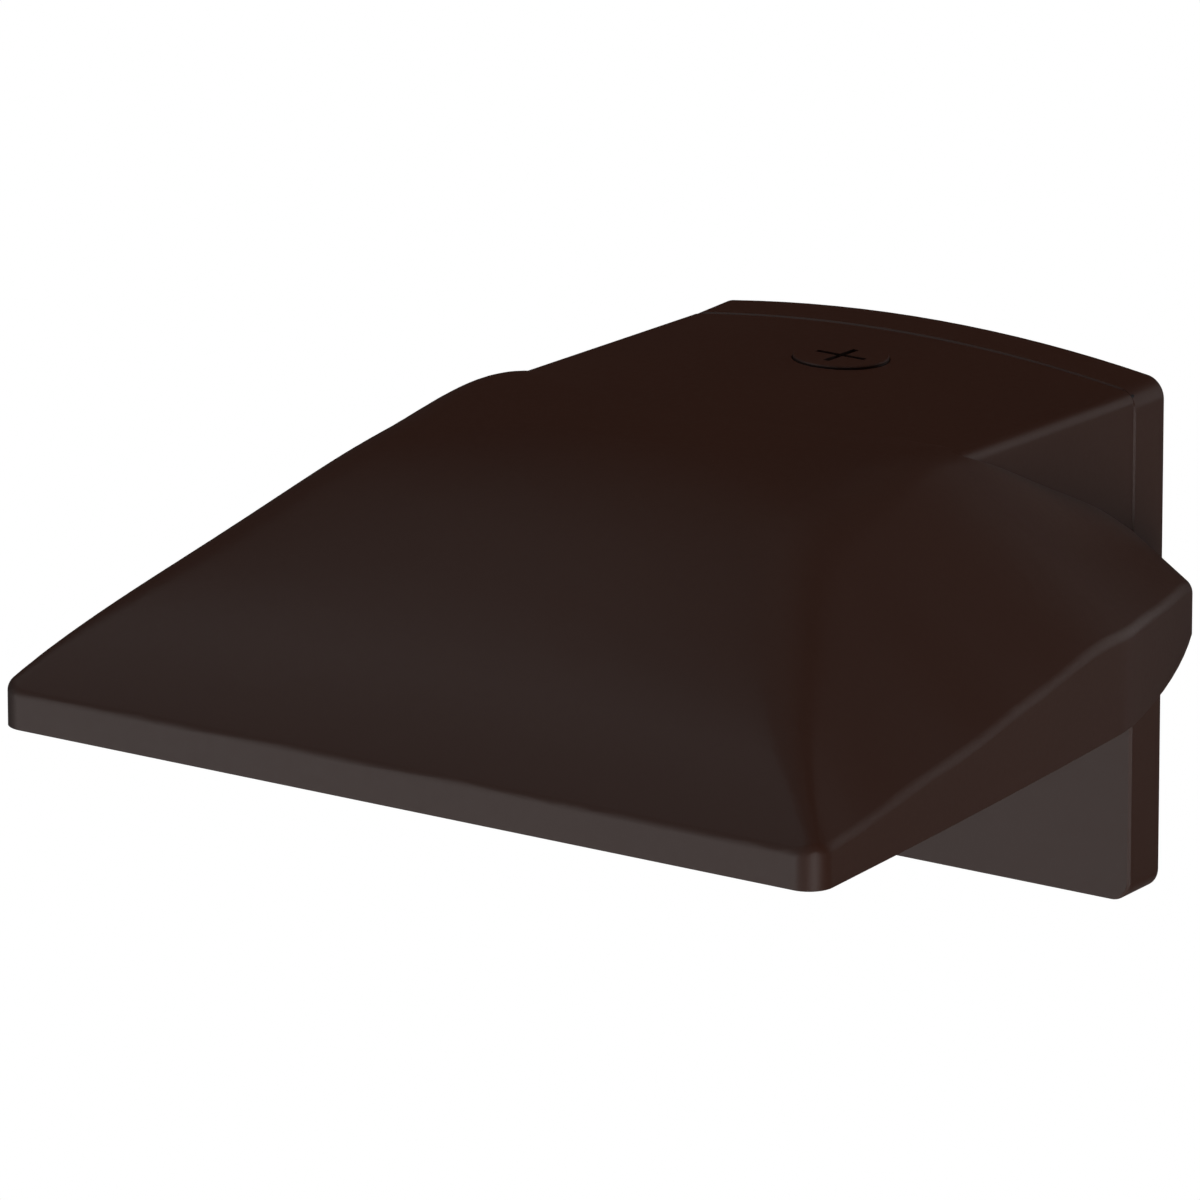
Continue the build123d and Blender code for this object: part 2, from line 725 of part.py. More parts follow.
def chip_spots():
    """The grid of light sources under the board."""
    step_x = (board_width - 2 * chip_margin) / (chip_columns - 1)
    step_out = (board_length - 2 * chip_side_margin) / (chip_rows - 1)
    return [((column - (chip_columns - 1) / 2) * step_x,
             lens_out + (row - (chip_rows - 1) / 2) * step_out)
            for column in range(chip_columns) for row in range(chip_rows)]


def make_led_chips():
    chips = [Pos(*spot(x, out, chip_bottom + chip_thick / 2)) * Box(chip_side, chip_side,
                                                                     chip_thick)
             for x, out in chip_spots()]
    return Compound(chips)


def make_optic_plate():
    """Clear plate under the light sources, on two rails that meet the board."""
    face = RectangleRounded(board_width - 12, board_length - 2, 2)
    plate = extrude(Pos(*spot(0, lens_out, optic_bottom)) * face, optic_thick)
    for end in (-1, 1):
        edge = lens_out + end * (board_length / 2 - 1)
        near = min(edge, edge - end * 2)
        plate += bar(-board_width / 2 + 12, board_width / 2 - 12, near, near + 2,
                     optic_bottom, board_bottom)
    for x, out in board_places:
        plate -= Pos(*spot(x, out, board_bottom + 1)) * hole(small_head / 2 + 0.6, 8)
    return plate


def make_board_screw(place):
    x, out = place
    seat = Pos(*spot(x, out, board_bottom)) * facing_down
    return seat * screw(small_shank, board_thick + pad_thick - 1.5, small_head,
                        small_head_thick)


def make_driver():
    """Potted LED driver with a fixing tab at each end."""
    case = Box(driver_width, driver_length, driver_height)
    case = fillet(case.edges().filter_by(Axis.Z), 3)
    driver = Pos(*spot(0, driver_out, driver_top - driver_height / 2)) * case
    for sign in (-1, 1):
        end = sign * (driver_width / 2 + tab_length)
        root = sign * (driver_width / 2 - 1)
        x0, x1 = min(end, root), max(end, root)
        driver += bar(x0, x1, driver_out - tab_width / 2, driver_out + tab_width / 2,
                      driver_top - tab_thick, driver_top)
        driver -= Pos(*spot(sign * tab_x, driver_out, driver_top + 1)) * hole(
            screw_shank / 2 + screw_clear, tab_thick + 2)
    return driver


def make_driver_screw(sign):
    seat = Pos(*spot(sign * tab_x, driver_out, driver_top - tab_thick)) * facing_down
    return seat * screw(screw_shank, tab_thick + 8, screw_head, screw_head_thick)


terminal_out = 100.0
terminal_ways = 3
terminal_pitch = 11.0
terminal_height = 12.0


def terminal_place():
    """Top of the small pad that the terminal block stands on."""
    return Pos(*spot(0, terminal_out, door_top + 0.5))


def make_terminal_block():
    """Three-way lead connector, with a wire entry through each way."""
    width = terminal_ways * terminal_pitch + 8
    block = Pos(0, 0, terminal_height / 2) * Box(width, 16, terminal_height)
    block -= hole(small_shank / 2 + screw_clear, 2 * terminal_height)
    block -= Pos(0, 0, 2 * terminal_height) * hole(small_shank / 2 + screw_clear,
                                                   2.5 * terminal_height)
    block -= Pos(0, 0, 2 * terminal_height) * hole(small_head / 2 + 0.3,
                                                   2 * terminal_height - 5)
    for way in (-1.5, -0.5, 0.5, 1.5):
        x = way * terminal_pitch * 0.9
        block -= Pos(x, 0, terminal_height * 0.55) * Box(2.8, 20, 2.8)
    return terminal_place() * block


def make_terminal_screw():
    return terminal_place() * Pos(0, 0, 5) * screw(small_shank, 5 + door_thick - 1,
                                                   small_head, small_head_thick)


# ---- All pieces, by name ----
pieces = {
    "back_plate": make_back_plate(),
    "wall_gasket": make_wall_gasket(),
    "housing_gasket": make_housing_gasket(),
    "mounting_strap": make_mounting_strap(),
    "ground_screw": make_ground_screw(),
    "housing": make_housing(),
    "door_frame": make_door_frame(),
    "door_gasket": make_door_gasket(),
    "lens": make_lens(),
    "lens_gasket": make_lens_gasket(),
    "led_board": make_led_board(),
    "led_chips": make_led_chips(),
    "optic_plate": make_optic_plate(),
    "driver": make_driver(),
    "terminal_block": make_terminal_block(),
    "terminal_screw": make_terminal_screw(),
    "conduit_plug": make_conduit_plug(),
    "plug_seal": make_plug_seal(),
}
for side_name, side_sign in (("left", -1), ("right", 1)):
    pieces["strap_screw_" + side_name] = make_strap_screw(side_sign)
    pieces["lock_washer_" + side_name] = make_lock_washer(side_sign)
    pieces["lock_screw_" + side_name] = make_lock_screw(side_sign)
    pieces["driver_screw_" + side_name] = make_driver_screw(side_sign)
for number, door_place in enumerate(door_places, 1):
    pieces[f"door_screw_{number}"] = make_door_screw(door_place)
for number, clip_place in enumerate(clip_places, 1):
    pieces[f"lens_clip_{number}"] = make_lens_clip(clip_place)
    pieces[f"clip_screw_{number}"] = make_clip_screw(clip_place)
for number, board_place in enumerate(board_places, 1):
    pieces[f"board_screw_{number}"] = make_board_screw(board_place)

for name, piece in pieces.items():
    piece.label = name
    export_step(piece, f"parts/{name}.step")
print("pieces:", len(pieces))
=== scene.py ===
import math
import bmesh
import bpy
import numpy as np
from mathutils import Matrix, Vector


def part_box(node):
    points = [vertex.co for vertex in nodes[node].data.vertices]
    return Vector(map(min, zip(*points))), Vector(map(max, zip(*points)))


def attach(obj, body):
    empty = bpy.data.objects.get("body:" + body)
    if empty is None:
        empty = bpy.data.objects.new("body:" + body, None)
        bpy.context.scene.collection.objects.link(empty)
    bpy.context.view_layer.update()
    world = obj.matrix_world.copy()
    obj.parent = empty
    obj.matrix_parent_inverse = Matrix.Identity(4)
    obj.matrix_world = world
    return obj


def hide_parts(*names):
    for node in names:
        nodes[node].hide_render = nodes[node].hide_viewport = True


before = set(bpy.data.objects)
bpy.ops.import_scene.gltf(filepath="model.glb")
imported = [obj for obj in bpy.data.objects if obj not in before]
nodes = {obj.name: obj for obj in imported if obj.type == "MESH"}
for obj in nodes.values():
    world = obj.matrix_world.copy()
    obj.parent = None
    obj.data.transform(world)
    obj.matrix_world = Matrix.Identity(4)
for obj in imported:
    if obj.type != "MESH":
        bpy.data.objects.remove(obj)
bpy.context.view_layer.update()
print("frame loaded:", len(nodes), "nodes")


def addObject(name, data):
    thing = bpy.data.objects.new(name, data)
    bpy.context.scene.collection.objects.link(thing)
    return thing


# Camera: a long lens, from the right and a little above.
cameraSet = {
    "azimuth": 33.665,      # degrees to the right of straight on
    "elevation": 17.044,
    "distance": 3.8318,
    "aim": (-0.08716, -0.03454, -0.01069),
    "lens": 420.0,          # millimetres on a 36 mm sensor, for a square frame
    "sensor": 36.0,
    "nearest": 0.05,        # clipping distances in metres
    "farthest": 60.0,
}


def addCamera():
    az = math.radians(cameraSet["azimuth"])
    el = math.radians(cameraSet["elevation"])
    aim = Vector(cameraSet["aim"])
    back = Vector((math.sin(az) * math.cos(el), -math.cos(az) * math.cos(el), math.sin(el)))
    data = bpy.data.cameras.new("viewCamera")
    data.lens = cameraSet["lens"]
    data.sensor_width = cameraSet["sensor"]
    data.sensor_height = cameraSet["sensor"]
    data.sensor_fit = "HORIZONTAL"
    data.clip_start = cameraSet["nearest"]
    data.clip_end = cameraSet["farthest"]
    cam = addObject("viewCamera", data)
    cam.location = aim + back * cameraSet["distance"]
    cam.rotation_euler = (aim - cam.location).to_track_quat("-Z", "Y").to_euler()
    bpy.context.scene.camera = cam


addCamera()
print("camera placed")


def linearColour(hexText):
    # sRGB hex to linear: the usual power curve, channel by channel
    values = [int(hexText[i:i + 2], 16) / 255 for i in (0, 2, 4)]
    linear = [v / 12.92 if v <= 0.04045 else ((v + 0.055) / 1.055) ** 2.4 for v in values]
    return (*linear, 1.0)


def addNode(tree, kind, settings=None, links=None):
    # settings are attributes of the node, or values of its sockets by name or number
    node = tree.nodes.new(kind)
    for key, value in (settings or {}).items():
        if isinstance(key, str) and hasattr(node, key):
            setattr(node, key, value)
        else:
            node.inputs[key].default_value = value
    for key, source in (links or {}).items():
        tree.links.new(source, node.inputs[key])
    return node


def startMaterial(name):
    material = bpy.data.materials.new(name)
    material.use_nodes = True
    tree = material.node_tree
    tree.nodes.clear()
    output = tree.nodes.new("ShaderNodeOutputMaterial")
    shader = tree.nodes.new("ShaderNodeBsdfPrincipled")
    tree.links.new(shader.outputs["BSDF"], output.inputs["Surface"])
    place = tree.nodes.new("ShaderNodeTexCoord").outputs["Object"]
    return material, tree, shader, place


def millimetres(size):
    # noise scale that gives features of this many millimetres
    return 1000.0 / size


recipe = {                  # what the finishes share, unless a look says otherwise
    "cloudDetail": 3.0,
    "grainDetail": 4.0,
    "roughSpread": 0.06,
    "relief": 0.0002,       # metres that the grain stands up at full depth
}


def finishMaterial(name, look):
    # one recipe: two tones in soft clouds, and a grain that varies the roughness and lifts
    # the surface
    material, tree, shader, where = startMaterial(name)
    if "stretch" in look:
        where = addNode(tree, "ShaderNodeMapping", {"Scale": look["stretch"]},
                        {"Vector": where}).outputs["Vector"]
    cloud = addNode(tree, "ShaderNodeTexNoise",
                    {"Scale": millimetres(look["mottle"]), "Detail": recipe["cloudDetail"]},
                    {"Vector": where})
    tone = addNode(tree, "ShaderNodeMix", {"data_type": "RGBA"}, {0: cloud.outputs["Fac"]})
    tone.inputs[6].default_value = linearColour(look["shade"])
    tone.inputs[7].default_value = linearColour(look["colour"])
    tree.links.new(tone.outputs[2], shader.inputs["Base Color"])
    grain = addNode(tree, "ShaderNodeTexNoise",
                    {"Scale": millimetres(look["grain"]), "Detail": recipe["grainDetail"]},
                    {"Vector": where})
    spread = look.get("roughSpread", recipe["roughSpread"])
    rough = addNode(tree, "ShaderNodeMapRange",
                    {"To Min": look["roughness"] - spread, "To Max": look["roughness"] + spread},
                    {"Value": grain.outputs["Fac"]})
    tree.links.new(rough.outputs["Result"], shader.inputs["Roughness"])
    bump = addNode(tree, "ShaderNodeBump",
                   {"Strength": look["depth"], "Distance": recipe["relief"]},
                   {"Height": grain.outputs["Fac"]})
    tree.links.new(bump.outputs["Normal"], shader.inputs["Normal"])
    for socket, value in look.get("sockets", {}).items():
        shader.inputs[socket].default_value = value
    return material


# What each finish is and what that gives the eye. Mottle and grain are sizes in millimetres.
looks = {
    # polyester powder baked on a die casting: satin, even, with a fine orange peel
    "powderCoatDarkBronze": {
        "colour": "2c1912", "shade": "291711", "mottle": 60.0, "grain": 1.8, "depth": 0.08,
        "roughness": 0.48, "roughSpread": 0.03, "sockets": {"Specular IOR Level": 0.5}},
    # moulded silicone: matte black with a soft bloom
    "mouldedSilicone": {
        "colour": "1d1d1e", "shade": "161617", "mottle": 9.0, "grain": 0.5, "depth": 0.12,
        "roughness": 0.72, "sockets": {"Specular IOR Level": 0.35}},
    # closed-cell foam: dark, with visible pores
    "cellRubberFoam": {
        "colour": "2a2a2b", "shade": "1a1a1b", "mottle": 2.2, "grain": 0.6, "depth": 0.6,
        "roughness": 0.85, "sockets": {"Specular IOR Level": 0.2}},
    # zinc-plated sheet: pale grey metal, clouded, with rolling lines along X
    "zincPlatedSheet": {
        "colour": "c3c6c8", "shade": "a7abae", "mottle": 7.0, "grain": 0.8, "depth": 0.08,
        "stretch": (0.25, 1.0, 1.0), "roughness": 0.42, "sockets": {"Metallic": 0.5}},
    # cold-formed stainless fasteners: bright with a drawn grain
    "formedStainless": {
        "colour": "b9b8b4", "shade": "9d9c98", "mottle": 2.0, "grain": 0.25, "depth": 0.10,
        "roughness": 0.30, "sockets": {"Metallic": 1.0}},
    # spring steel strip, rolled: long fine lines
    "rolledSpringSteel": {
        "colour": "aeb0b2", "shade": "8f9294", "mottle": 3.0, "grain": 0.3, "depth": 0.12,
        "stretch": (1.0, 0.15, 1.0), "roughness": 0.33, "sockets": {"Metallic": 1.0}},
    # green chromate on the ground screw: a thin tinted film over metal
    "greenChromatedSteel": {
        "colour": "2f8a4a", "shade": "1d6b3a", "mottle": 1.8, "grain": 0.3, "depth": 0.10,
        "roughness": 0.38, "sockets": {"Metallic": 0.85}},
    # white solder mask on an aluminium-core board: even satin over a faint weave
    "whiteSolderMask": {
        "colour": "ecece8", "shade": "e2e2dd", "mottle": 12.0, "grain": 0.7, "depth": 0.06,
        "roughness": 0.42, "sockets": {"Specular IOR Level": 0.45}},
    # phosphor in silicone on the light sources: yellow, slightly domed gloss
    "phosphorSilicone": {
        "colour": "e8c23c", "shade": "d9ad28", "mottle": 1.2, "grain": 0.3, "depth": 0.08,
        "roughness": 0.28, "sockets": {"Specular IOR Level": 0.5}},
    # moulded polycarbonate case of the driver: off-white, spark-eroded texture
    "mouldedPolycarbonate": {
        "colour": "d7d8d4", "shade": "cbccc7", "mottle": 15.0, "grain": 0.6, "depth": 0.22,
        "roughness": 0.52, "sockets": {"Specular IOR Level": 0.45}},
    # moulded nylon of the terminal block: milky and waxy
    "mouldedNylon": {
        "colour": "cfccbf", "shade": "c2bfb0", "mottle": 5.0, "grain": 0.5, "depth": 0.12,
        "roughness": 0.44, "sockets": {"Subsurface Weight": 0.15, "Subsurface Scale": 0.001}},
    # float glass, tempered: clear with a slight green body
    "temperedFloatGlass": {
        "colour": "f2faf6", "shade": "ebf6f1", "mottle": 40.0, "grain": 25.0, "depth": 0.01,
        "roughness": 0.03, "roughSpread": 0.01,
        "sockets": {"Transmission Weight": 1.0, "IOR": 1.52}},
    # moulded acrylic: clear and glossy, with a faint flow pattern
    "mouldedAcrylic": {
        "colour": "fbfcfd", "shade": "f4f7f9", "mottle": 20.0, "grain": 6.0, "depth": 0.03,
        "roughness": 0.07, "roughSpread": 0.02,
        "sockets": {"Transmission Weight": 1.0, "IOR": 1.49}},
}
finishes = {name: finishMaterial(name, look) for name, look in looks.items()}
print("materials made:", len(finishes))

nodeFinishes = {
    "powderCoatDarkBronze": ["housing", "back_plate", "door_frame", "conduit_plug"],
    "mouldedSilicone": ["housing_gasket", "door_gasket", "lens_gasket", "plug_seal"],
    "cellRubberFoam": ["wall_gasket"],
    "zincPlatedSheet": ["mounting_strap"],
    "greenChromatedSteel": ["ground_screw"],
    "whiteSolderMask": ["led_board"],
    "phosphorSilicone": ["led_chips"],
    "mouldedPolycarbonate": ["driver"],
    "mouldedNylon": ["terminal_block"],
    "temperedFloatGlass": ["lens"],
    "mouldedAcrylic": ["optic_plate"],
}
finishOf = {node: finish for finish, members in nodeFinishes.items() for node in members}
for name, node in nodes.items():
    plain = "rolledSpringSteel" if name.startswith("lens_clip") else "formedStainless"
    node.data.materials.clear()
    node.data.materials.append(finishes[finishOf.get(name, plain)])
print("CAD nodes dressed:", len(nodes))


def addPiece(name, points, faces, finish, body):
    mesh = bpy.data.meshes.new(name)
    mesh.from_pydata(points.tolist(), [], faces.tolist() if hasattr(faces, "tolist") else faces)
    mesh.materials.append(finishes[finish])
    mesh.update()
    mesh.polygons.foreach_set("use_smooth", [True] * len(mesh.polygons))
    piece = addObject(name, mesh)
    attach(piece, body)
    return piece


# Castings: the CAD triangles welded into one skin and shaded smooth up to a crease.
castingSet = {
    "weld": 0.000004,       # metres within which vertices become one
    "crease": 26.0,         # degrees; softer bends than this shade as one surface
    "tiny": 1e-15,          # keeps a division by a length of nothing safe
    "copies": [("housing", "housingCasting", "housing"), ("back_plate", "plateCasting", "wall"),
               ("door_frame", "doorCasting", "housing"), ("conduit_plug", "plugCasting", "plug")],
}


def cornerNormals(mesh):
    # each corner's normal: the sum of area times normal over the triangles that meet at
    # its vertex and lie within the crease angle of its own triangle
    tiny = castingSet["tiny"]
    places = np.empty(len(mesh.vertices) * 3)
    mesh.vertices.foreach_get("co", places)
    places = places.reshape(-1, 3)
    corners = np.empty(len(mesh.loops), int)
    mesh.loops.foreach_get("vertex_index", corners)
    first, second, third = (places[corners[k::3]] for k in range(3))
    doubled = np.cross(second - first, third - first)
    size = np.linalg.norm(doubled, axis=1, keepdims=True)
    flat = np.repeat(doubled / np.maximum(size, tiny), 3, axis=0)
    weighted = np.repeat(doubled, 3, axis=0)
    total = weighted.copy()
    order = np.argsort(corners, kind="stable")
    limit = math.cos(math.radians(castingSet["crease"]))
    for step in range(1, int(np.bincount(corners).max())):
        one, other = order[:-step], order[step:]
        together = corners[one] == corners[other]
        one, other = one[together], other[together]
        alike = (flat[one] * flat[other]).sum(1) > limit
        one, other = one[alike], other[alike]
        np.add.at(total, one, weighted[other])
        np.add.at(total, other, weighted[one])
    length = np.linalg.norm(total, axis=1, keepdims=True)
    return np.where(length > tiny, total / np.maximum(length, tiny), flat)


def weldedCopy(nodeName, pieceName, body):
    form = bmesh.new()
    form.from_mesh(nodes[nodeName].data)
    bmesh.ops.remove_doubles(form, verts=form.verts, dist=castingSet["weld"])
    mesh = bpy.data.meshes.new(pieceName)
    form.to_mesh(mesh)
    form.free()
    mesh.materials.clear()
    mesh.materials.append(finishes[finishOf[nodeName]])
    mesh.polygons.foreach_set("use_smooth", [True] * len(mesh.polygons))
    mesh.normals_split_custom_set(cornerNormals(mesh).tolist())
    piece = addObject(pieceName, mesh)
    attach(piece, body)
    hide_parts(nodeName)


for nodeName, pieceName, bodyName in castingSet["copies"]:
    weldedCopy(nodeName, pieceName, bodyName)
print("castings welded and smoothed")


def gridFaces(rows, columns):
    # quads between neighbouring rows of a grid whose rows close on themselves
    row, column = np.meshgrid(np.arange(rows - 1), np.arange(columns), indexing="ij")
    after = (column + 1) % columns
    quads = np.stack([row * columns + column, row * columns + after,
                      (row + 1) * columns + after, (row + 1) * columns + column], -1)
    return quads.reshape(-1, 4)


def turnTo(points, place, axis):
    # local +Z goes to the axis, local X stays level, and the origin goes to the place
    up = np.array(axis, float) / np.linalg.norm(axis)
    side = np.cross((0.0, 1.0, 0.0) if abs(up[2]) > 0.5 else (0.0, 0.0, 1.0), up)
    side /= np.linalg.norm(side)
    basis = np.stack([side, np.cross(up, side), up])
    return points @ basis + np.array(place, float)


# Indented hexagon heads: six flats, a turned chamfer, and the shallow dish that the
# forming punch leaves.
headSet = {
    "steps": 48,
    "roundShare": 0.95,     # the round rows stay this far inside the corner radius
    "profile": [            # share of the corner radius, share of the height, how hexagonal
        (0.0, 0.0, 0.0), (0.96, 0.0, 1.0), (1.0, 0.04, 1.0), (1.0, 0.80, 1.0),
        (0.90, 0.97, 0.25), (0.84, 1.0, 0.0), (0.62, 1.0, 0.0), (0.56, 0.95, 0.0),
        (0.50, 0.80, 0.0), (0.30, 0.72, 0.0), (0.0, 0.70, 0.0)],
}


def hexHeadPoints(radius, height):
    # for each angle and profile step: radius share times corner radius, pulled in to the
    # flats by the hexagon's polar curve cos(30)/cos(angle within its side), by the share
    angle = np.arange(headSet["steps"]) * 2 * np.pi / headSet["steps"]
    profile = np.array(headSet["profile"])
    flats = np.cos(np.pi / 6) / np.cos((angle % (np.pi / 3)) - np.pi / 6)
    reach = profile[:, :1] * (1 - profile[:, 2:] * (1 - flats[None, :])) * radius
    widest = np.where(profile[:, 2:] > 0, 1.0, headSet["roundShare"])
    reach = np.minimum(reach, profile[:, :1] * radius * widest)
    level = np.broadcast_to(profile[:, 1:2] * height, reach.shape)
    points = np.stack([reach * np.cos(angle), reach * np.sin(angle), level], -1)
    return points.reshape(-1, 3)


# Screw threads: a ridge that climbs right-handed and runs out at both ends.
threadSet = {
    "steps": 28,            # in a turn
    "crest": 0.12,          # half widths of crest and root, in pitches
    "root": 0.42,
    "sunk": 0.4,            # how far the root lies inside the core, in thread depths
    "runOut": 0.4,          # turns over which the ridge fades at each end
    "least": 0.02,          # share of the ridge that is left at its very end
}


def threadPoints(core, crest, pitch, low, high):
    # along the helix z rises one pitch a turn; across it four corners go root, crest,
    # crest, root; near both ends the crest sinks into the core
    turns = (high - low) / pitch
    count = int(turns * threadSet["steps"])
    along = np.linspace(0.0, 1.0, count)
    angle = along * turns * 2 * np.pi
    fade = np.clip(np.minimum(along, 1 - along) * turns / threadSet["runOut"],
                   threadSet["least"], 1.0)
    outer = core + (crest - core) * fade
    inner = np.full(count, core - (crest - core) * threadSet["sunk"])
    reach = np.stack([inner, outer, outer, inner], -1)
    shift = np.array([-threadSet["root"], -threadSet["crest"], threadSet["crest"],
                      threadSet["root"]]) * pitch
    level = low + (high - low) * along[:, None] + shift[None, :] * fade[:, None]
    points = np.stack([reach * np.cos(angle)[:, None], reach * np.sin(angle)[:, None], level], -1)
    faces = gridFaces(count, 4)[:, ::-1].tolist()
    faces.append([0, 1, 2, 3])
    faces.append([4 * count - 1, 4 * count - 2, 4 * count - 3, 4 * count - 4])
    return points.reshape(-1, 3), faces


outwardSet = {"weld": 0.000001, "crease": 35.0}     # metres, degrees


def outward(piece):
    # merges a piece's doubles, turns all its faces outwards and marks its creases
    form = bmesh.new()
    form.from_mesh(piece.data)
    bmesh.ops.remove_doubles(form, verts=form.verts, dist=outwardSet["weld"])
    bmesh.ops.recalc_face_normals(form, faces=form.faces)
    form.to_mesh(piece.data)
    form.free()
    piece.data.set_sharp_from_angle(angle=math.radians(outwardSet["crease"]))


# Screws, in metres: corner radius and height of the head, shank radius, thread pitch.
screwSizes = {
    "big": {"head": 0.0037, "headHeight": 0.0024, "shank": 0.002, "pitch": 0.0009},
    "small": {"head": 0.0028, "headHeight": 0.0018, "shank": 0.0015, "pitch": 0.0006},
    "lock": {"head": 0.0045, "headHeight": 0.0035, "shank": 0.0021, "pitch": 0.0008},
}
shankSet = {
    "core": 0.95,           # share of the shank radius that lies under the thread
    "tip": 0.55,            # the same at the end of the tip's taper
    "taper": 0.0006,
    "threadFrom": 0.0012,   # from the tip
    "threadShort": 0.0008,  # of the head
}


def headAndShank(name, node, body, axis, size):
    # a screw of the same length as its CAD node: shaped head, shank with a helical thread
    low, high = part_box(node)
    axis = np.array(axis, float)
    middle = (np.array(low) + np.array(high)) / 2
    reach = abs((np.array(high) - np.array(low)) @ axis)
    tip = middle - axis * reach / 2
    length = reach - size["headHeight"]
    head = turnTo(hexHeadPoints(size["head"], size["headHeight"]), tip + axis * length, axis)
    steps = headSet["steps"]
    headFaces = gridFaces(len(headSet["profile"]), steps)
    angle = np.arange(steps) * 2 * np.pi / steps
    core = shankSet["core"]
    rings = np.array([(0.0, 0.0), (shankSet["tip"], 0.0), (core, shankSet["taper"]),
                      (core, length), (0.0, length)])
    shank = np.stack([rings[:, :1] * size["shank"] * np.cos(angle),
                      rings[:, :1] * size["shank"] * np.sin(angle),
                      np.broadcast_to(rings[:, 1:], (len(rings), steps))], -1).reshape(-1, 3)
    shankFaces = gridFaces(len(rings), steps)
    ridge, ridgeFaces = threadPoints(size["shank"] * core, size["shank"], size["pitch"],
                                     shankSet["threadFrom"], length - shankSet["threadShort"])
    parts = [(head, headFaces.tolist()), (turnTo(shank, tip, axis), shankFaces.tolist()),
             (turnTo(ridge, tip, axis), ridgeFaces)]
    points, faces, start = [], [], 0
    for partPoints, partFaces in parts:
        points.append(partPoints)
        faces += [[index + start for index in face] for face in partFaces]
        start += len(partPoints)
    finish = finishOf.get(node, "formedStainless")
    piece = addPiece(name, np.concatenate(points), faces, finish, body)
    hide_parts(node)
    outward(piece)


down, out, up = (0, 0, -1), (0, -1, 0), (0, 0, 1)
screwPlan = []              # piece, node, body, the way its head faces, size
for kind, count, axis, sizeName in [("door", 6, down, "big"), ("clip", 4, up, "small"),
                                    ("board", 4, down, "small")]:
    screwPlan += [("%sScrew%d" % (kind, n), "%s_screw_%d" % (kind, n), "housing", axis, sizeName)
                  for n in range(1, count + 1)]
for hand in ("left", "right"):
    for kind, bodyName, axis, sizeName in [("lock", "lock_screw_" + hand, out, "lock"),
                                           ("strap", "wall", out, "big"),
                                           ("driver", "housing", down, "big")]:
        screwPlan.append((kind + "Screw" + hand.capitalize(), kind + "_screw_" + hand,
                          bodyName, axis, sizeName))
screwPlan.append(("groundScrew", "ground_screw", "wall", out, "big"))
for title, nodeName, bodyName, axis, sizeName in screwPlan:
    headAndShank(title, nodeName, bodyName, axis, screwSizes[sizeName])
print("screws made:", len(screwPlan))


# Closure plug: a pipe thread on its shank, seen when it is screwed out.
plugSet = {
    "place": (0.0, -0.049, 0.0755858),
    "axis": (0.0, 0.043658, 0.999047),
    "core": 0.0102,
    "crest": 0.0106,
    "pitch": 0.001814,      # fourteen threads to the inch
    "low": -0.01285,        # where the thread starts and ends, along the axis from place
    "high": -0.0036,
}


def addPlugThread():
    points, faces = threadPoints(plugSet["core"], plugSet["crest"], plugSet["pitch"],
                                 plugSet["low"], plugSet["high"])
    points = turnTo(points, plugSet["place"], plugSet["axis"])
    outward(addPiece("plugThread", points, faces, "powderCoatDarkBronze", "plug"))


addPlugThread()
print("plug threaded")


# Optics: one moulded bead under each light source, hanging from the clear plate.
beadSet = {
    "radius": 0.0046,
    "drop": 0.0026,
    "rings": 8,
    "steps": 24,
    "root": 0.0004,         # how far a bead reaches into the plate
    "columns": 12,          # of light sources, left to right
    "rows": 4,
    "halfChip": 0.00175,    # half a light source's width
}


def addBeads():
    # each bead is a quarter ellipse turned round: radius times cosine, drop times sine
    chipLow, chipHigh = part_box("led_chips")
    plateLow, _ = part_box("optic_plate")
    half = beadSet["halfChip"]
    xs = np.linspace(chipLow.x + half, chipHigh.x - half, beadSet["columns"])
    ys = np.linspace(chipLow.y + half, chipHigh.y - half, beadSet["rows"])
    rise = np.linspace(0.0, np.pi / 2, beadSet["rings"])
    reach = np.concatenate([[0.0, 1.0], np.cos(rise)]) * beadSet["radius"]
    level = np.concatenate([[beadSet["root"], beadSet["root"]], -np.sin(rise) * beadSet["drop"]])
    angle = np.arange(beadSet["steps"]) * 2 * np.pi / beadSet["steps"]
    bead = np.stack([reach[:, None] * np.cos(angle), reach[:, None] * np.sin(angle),
                     np.broadcast_to(level[:, None], (len(reach), len(angle)))], -1)
    bead = bead.reshape(-1, 3)
    spots = np.stack(np.meshgrid(xs, ys, indexing="ij"), -1).reshape(-1, 2)
    spots = np.column_stack([spots, np.full(len(spots), plateLow.z)])
    points = (spots[:, None, :] + bead[None, :, :]).reshape(-1, 3)
    one = gridFaces(len(reach), beadSet["steps"])
    faces = (one[None] + np.arange(len(spots))[:, None, None] * len(bead)).reshape(-1, 4)
    outward(addPiece("opticBeads", points, faces, "mouldedAcrylic", "housing"))


addBeads()
print("optics made")


# Studio: pure white for the camera, and for the rest a soft sweep that is bright low in front.
studioSet = {
    "floorDrop": 3.0,       # a light of this kind is mounted about this high, in metres
    "floorSize": 7.0,
    "floorColour": "d8d8d6",
    "floorRough": 0.9,
    "bright": 0.30,         # world strength low in front; it falls to nothing behind
    "front": (-0.30, -0.70, -0.65),
    "fall": 2.0,
    "sweepFrom": -0.75,     # where the sweep starts and is full, along front
    "sweepTo": 0.90,
    "lampAim": (0.0, -0.12, 0.03),
}


